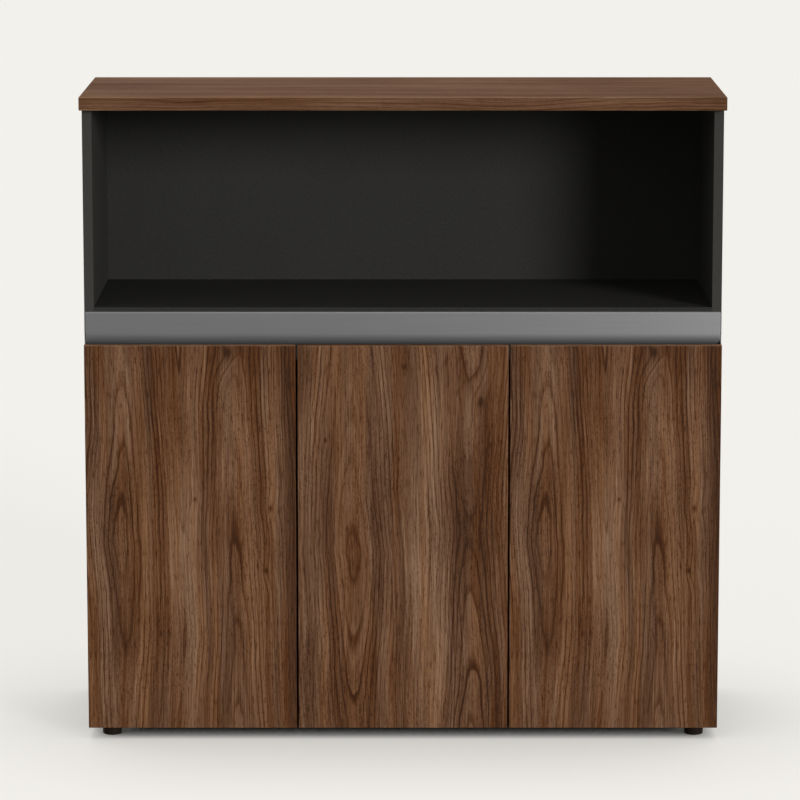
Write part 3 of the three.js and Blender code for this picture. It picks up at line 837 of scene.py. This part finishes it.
def floor_material():
    """Pale floor: its shown colour is its own glow and paint, darkened by a painted shadow round and
    under the cabinet, and its bounced light is duller.
    """
    material = bpy.data.materials.new("floor")
    material.use_nodes = True
    tree = material.node_tree
    tree.nodes.clear()
    shade = tree.nodes.new("ShaderNodeAmbientOcclusion")
    shade.samples = SHADE_SAMPLES
    shade.inputs["Distance"].default_value = SHADE_DISTANCE
    open_sky = Field(tree, shade.outputs["AO"])
    # Painted shadow on the floor's glow and paint.
    painted_shadow_factor = open_sky / (open_sky + SHADE_CORE) * under_cabinet_shadow(tree)
    glow = tree.nodes.new("ShaderNodeEmission")
    glow.inputs["Color"].default_value = BACKGROUND
    strength = open_sky.math("POWER", SHADE_POWER) * painted_shadow_factor * FLOOR_GLOW
    tree.links.new(strength.socket, glow.inputs["Strength"])
    paint = tree.nodes.new("ShaderNodeBsdfDiffuse")
    lit = [value * FLOOR_PAINT for value in BACKGROUND[:3]] + [1]
    tree.links.new(painted_shadow_factor.ramp(((0.0, BLACK), (1.0, lit))), paint.inputs["Color"])
    shown = tree.nodes.new("ShaderNodeAddShader")
    tree.links.new(glow.outputs[0], shown.inputs[0])
    tree.links.new(paint.outputs[0], shown.inputs[1])
    bounce = tree.nodes.new("ShaderNodeBsdfDiffuse")
    bounce.inputs["Color"].default_value = FLOOR_BOUNCE
    surface = mix_shaders(tree, seen_rays(tree), bounce, shown)
    output = tree.nodes.new("ShaderNodeOutputMaterial")
    tree.links.new(surface.outputs[0], output.inputs["Surface"])
    return material


def make_floor():
    mesh = bmesh.new()
    bmesh.ops.create_grid(
        mesh, x_segments=FLOOR_SEGMENTS, y_segments=FLOOR_SEGMENTS, size=FLOOR_SIZE
    )
    data = bpy.data.meshes.new("floor")
    mesh.to_mesh(data)
    mesh.free()
    data.materials.append(floor_material())
    floor = bpy.data.objects.new("floor", data)
    scene.collection.objects.link(floor)
    return floor


def make_world():
    """A backdrop of the background's colour, and a plain white light on the object."""
    world = bpy.data.worlds.new("studio")
    scene.world = world
    world.use_nodes = True
    tree = world.node_tree
    tree.nodes.clear()
    backdrop = tree.nodes.new("ShaderNodeBackground")
    backdrop.inputs["Color"].default_value = BACKGROUND
    ambient = tree.nodes.new("ShaderNodeBackground")
    ambient.inputs["Color"].default_value = WHITE
    ambient.inputs["Strength"].default_value = AMBIENT
    surface = mix_shaders(tree, seen_rays(tree), ambient, backdrop)
    output = tree.nodes.new("ShaderNodeOutputWorld")
    tree.links.new(surface.outputs[0], output.inputs["Surface"])


def make_light(name, azimuth, elevation, strength, softness):
    """A distant soft light, in degrees; azimuth 0 is from the front and 90 from the right."""
    data = bpy.data.lights.new(name, "SUN")
    data.energy = strength
    data.angle = math.radians(softness)
    light = bpy.data.objects.new(name, data)
    scene.collection.objects.link(light)
    turn = math.radians(azimuth)
    rise = math.radians(elevation)
    level = math.cos(rise)
    away = Vector((math.sin(turn) * level, -math.cos(turn) * level, math.sin(rise)))
    light.rotation_euler = away.to_track_quat("Z", "Y").to_euler()
    return light


def make_sheen(name, place, aim, size, power, shown_on):
    """A softbox that shows only as gloss, on these nodes."""
    data = bpy.data.lights.new(name, "AREA")
    data.energy = power
    data.size = size
    light = bpy.data.objects.new(name, data)
    scene.collection.objects.link(light)
    light.location = place
    light.rotation_euler = (Vector(place) - Vector(aim)).to_track_quat("Z", "Y").to_euler()
    light.visible_camera = False
    light.visible_diffuse = False
    lit = bpy.data.collections.new(name + "_lit")
    for node in shown_on:
        lit.objects.link(nodes[node])
    light.light_linking.receiver_collection = lit


floor = make_floor()
make_world()
make_sheen(
    "side_sheen",
    place=(1.5, -1.3, 0.75),
    aim=(0.4, -0.2, 0.8),
    size=0.6,
    power=68,
    shown_on=["finger_pull_rail"],
)
make_sheen(
    "edge_sheen",
    place=(0, -2.2, 3.4),
    aim=(0, -0.2, 0.9),
    size=1.2,
    power=150,
    shown_on=["finger_pull_rail", "top_panel"],
)
make_light("key", azimuth=37, elevation=11, strength=2.68, softness=18)
make_light("fill", azimuth=-40, elevation=10, strength=0.43, softness=60)
make_light("overhead", azimuth=180, elevation=80, strength=1.0, softness=34)
rear = make_light("rear", azimuth=222, elevation=15, strength=2.6, softness=40)

# The rear light shows the back and leaves the floor alone.
unlit = bpy.data.collections.new("not_lit_from_the_rear")
unlit.objects.link(floor)
rear.light_linking.receiver_collection = unlit
for entry in unlit.collection_objects:
    entry.light_linking.link_state = "EXCLUDE"


# Bring the scene up to date
bpy.context.view_layer.update()
